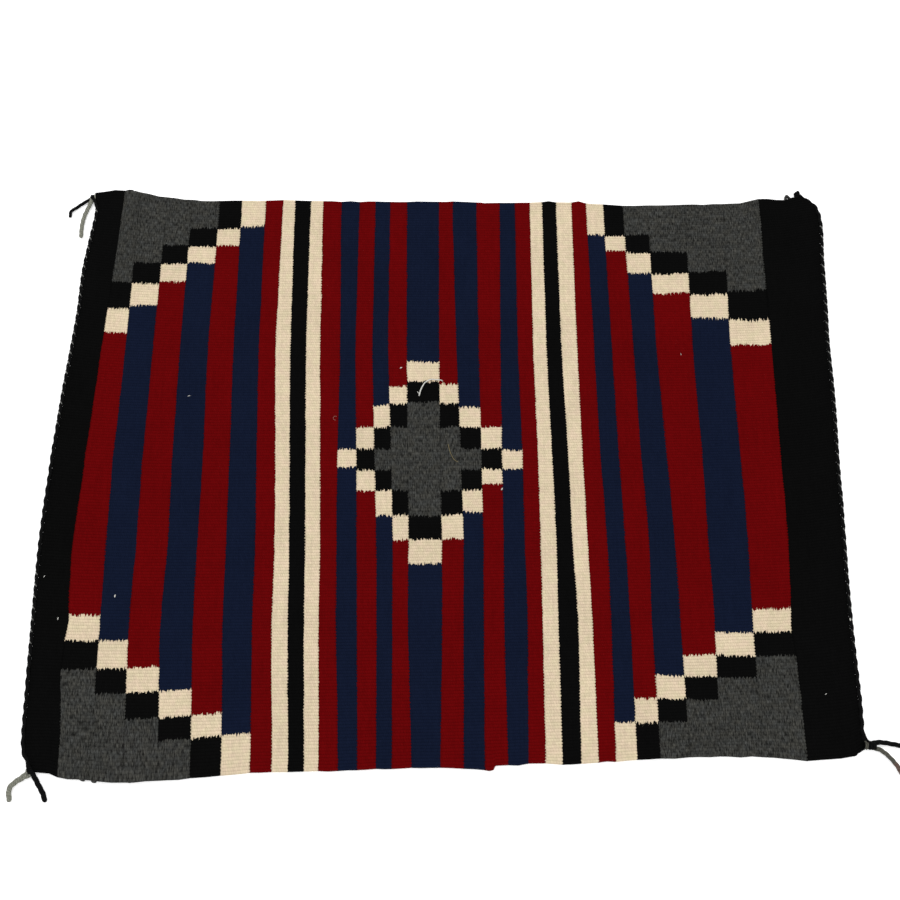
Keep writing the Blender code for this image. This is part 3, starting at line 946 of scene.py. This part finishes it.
# Specks of wool fluff caught in the weave. Each: x mm, y mm, its turn in degrees, length mm, radius mm
FLUFF = [
    (-319.6, 89.4, 15, 3.2, 0.40), (-383.2, -152.9, 80, 3.0, 0.75), (-68.4, 127.5, 20, 2.6, 0.70),
    (268.3, 147.9, 110, 2.6, 0.30), (-464.7, -131.2, 60, 2.4, 0.45), (-444.0, -178.9, 80, 2.8, 0.60),
    (438.0, -174.0, 100, 2.8, 0.85), (403.2, -256.1, 30, 2.4, 0.40),
    (51.4, -24.2, 60, 2.8, 0.75),
]

# Turns of weft that stand out from the cloth's long edges. Each: x mm, y mm, turn, half length, radius, colour
LOOSE_TURNS = [
    (-398.5, -352.0, -18, 3.4, 1.5, "dark_grey"), (-385.7, -353.8, -10, 3.0, 1.5, "dark_grey"),
    (-347.0, -353.8, 8, 2.6, 1.3, "dark_grey"), (428.6, -320.2, 22, 3.2, 1.6, "black"),
    (-417.0, 369.6, 4, 5.0, 1.3, "black"),
]


def make_loose_fibre(name, row, finishes):
    """A short yarn or fibre that has worked out of the weave."""
    work = YarnWork(name)
    points = []
    for x, y, above in row["line"]:
        points.append(Vector((x, y, above + 2 * HALF_THICKNESS + float(rise(np.array(x), np.array(y))))) * MM)
    path = SmoothLine(points)
    count = 26
    centres = [path.at(path.length * i / count) for i in range(count + 1)]
    radii = [(row["radius"] + (row["tip"] - row["radius"]) * i / count) * MM for i in range(count + 1)]
    work.strand(centres, radii, 7)
    return work.finish([finishes[row["colour"]]], None, "woven_wool")


def make_fluff(finish):
    """Specks of pale fluff on the face of the cloth."""
    work = YarnWork("wool_fluff")
    for x, y, turn, length, radius in FLUFF:
        top = 2 * HALF_THICKNESS + float(rise(np.array(x), np.array(y)))
        ahead = Vector((math.cos(math.radians(turn)), math.sin(math.radians(turn)), 0)) * length / 4
        middle = Vector((x, y, top))
        centres = []
        for step, above in ((-2, -0.2), (-1, 0.4), (0, 0.6), (1, 0.4), (2, -0.2)):
            centres.append((middle + ahead * step + Vector((0, 0, above))) * MM)
        work.strand(centres, [radius * share * MM for share in (0.5, 0.9, 1.0, 0.9, 0.5)], 6)
    return work.finish([finish], None, "woven_wool")


def make_loose_turns(finishes):
    """Short turns of weft along the long edges, each fatter in its middle."""
    colours = sorted({row[-1] for row in LOOSE_TURNS})
    work = YarnWork("loose_weft_turns")
    for x, y, turn, half, radius, colour in LOOSE_TURNS:
        ahead = Vector((math.cos(math.radians(turn)), math.sin(math.radians(turn)), 0)) * half / 4
        middle = Vector((x, y, HALF_THICKNESS + float(rise(np.array(x), np.array(y)))))
        centres = [(middle + ahead * step) * MM for step in range(-4, 5)]
        radii = [radius * math.sqrt(1.05 - (step / 4) ** 2) * MM for step in range(-4, 5)]
        work.strand(centres, radii, 10, colours.index(colour))
    return work.finish([finishes[colour] for colour in colours], None, "woven_wool")


def make_floor():
    """A plain pale floor, wide enough for every view."""
    bpy.ops.mesh.primitive_plane_add(size=12, location=(0, 0, -0.0002))
    floor = bpy.context.object
    floor.name = "studio_floor"
    paint = Recipe("pale_floor", roughness=0.9, specular=0.1)
    place = paint.node("ShaderNodeTexCoord", output="Object")
    cloud = paint.noise(place, scale=1.5, detail=2.0)
    paint.set("Base Color", paint.mix(cloud, (0.93, 0.93, 0.93), (0.95, 0.95, 0.95)))
    paint.set("Emission Color", (1.0, 1.0, 1.0))
    paint.set("Emission Strength", 0.3)
    floor.data.materials.append(paint.material)


def make_lights():
    """Plain soft studio light: two large soft boxes and a pale room."""
    for name, place, size, power in (("key_light", (-1.4, 1.6, 2.6), 2.2, 40), ("fill_light", (1.8, -1.2, 2.4), 2.4, 20)):
        light = bpy.data.lights.new(name, "AREA")
        light.size = size
        light.energy = power
        lamp = bpy.data.objects.new(name, light)
        bpy.context.scene.collection.objects.link(lamp)
        lamp.location = place
        lamp.rotation_euler = (-Vector(place)).to_track_quat("-Z", "Y").to_euler()
    world = bpy.data.worlds.new("pale_room")
    world.use_nodes = True
    background = world.node_tree.nodes["Background"]
    background.inputs["Color"].default_value = (1.0, 1.0, 1.0, 1.0)
    background.inputs["Strength"].default_value = 0.95
    bpy.context.scene.world = world


def make_camera():
    """The photo's view: from the front, high above, with a very slight roll."""
    elevation, roll = math.radians(70.4), math.radians(0.4)
    aim = Vector((-0.009, 0.025, 0.0))
    back = Vector((0, -math.cos(elevation), math.sin(elevation)))
    right = Vector((1, 0, 0))
    up = Vector((0, math.sin(elevation), math.cos(elevation)))
    across = right * math.cos(roll) + up * math.sin(roll)
    above = up * math.cos(roll) - right * math.sin(roll)
    camera = bpy.data.cameras.new("photo_view")
    camera.lens = 48
    camera.sensor_width = 36
    holder = bpy.data.objects.new("photo_view", camera)
    bpy.context.scene.collection.objects.link(holder)
    turn = Matrix((across, above, back)).transposed().to_4x4()
    holder.matrix_world = Matrix.Translation(aim + back * 1.408) @ turn
    bpy.context.scene.camera = holder


def main():
    make_camera()
    make_lights()
    make_floor()
    finishes = {
        "black": yarn_finish("black_yarn", (0.0048, 0.0048, 0.0050), (0.0020, 0.0020, 0.0021), 2.0),
        "cord_grey": yarn_finish("cord_grey_yarn", (0.24, 0.24, 0.225), (0.08, 0.08, 0.075), 3.0),
        "light_grey": yarn_finish("light_grey_yarn", (0.25, 0.255, 0.205), (0.11, 0.11, 0.095), 3.0),
        "brown_grey": yarn_finish("brown_grey_yarn", (0.105, 0.104, 0.082), (0.042, 0.040, 0.036), 3.0,
                                  (0.100, 0.066, 0.054), 30),
        # Dark grey: the loose weft turns' own colour, and painted shade on the back-right tassel's grey tail, a light
        # grey yarn darkened.
        "dark_grey": yarn_finish("deep_grey_and_shaded_grey_yarn", (0.060, 0.060, 0.056), (0.025, 0.025, 0.024), 3.0),
        "white": yarn_finish("white_yarn", (0.72, 0.72, 0.68), (0.50, 0.49, 0.45), 1.5),
        "straw": yarn_finish("straw_fibre", (0.20, 0.165, 0.09), (0.13, 0.11, 0.06), 1.5),
        "pink": yarn_finish("pink_fibre", (0.32, 0.12, 0.10), (0.22, 0.06, 0.05), 1.5),
    }
    cloth = make_cloth(weave_finish())
    trims = []
    for name, row in END_CORDS.items():
        trims += make_end_cord(name, row, finishes)
    for name, row in TASSELS.items():
        trims.append(make_tassel(name, row, finishes))
    for name, row in LOOSE_FIBRES.items():
        trims.append(make_loose_fibre(name, row, finishes))
    trims.append(make_fluff(finishes["white"]))
    trims.append(make_loose_turns(finishes))
    bpy.context.scene.view_settings.view_transform = "Standard"


main()
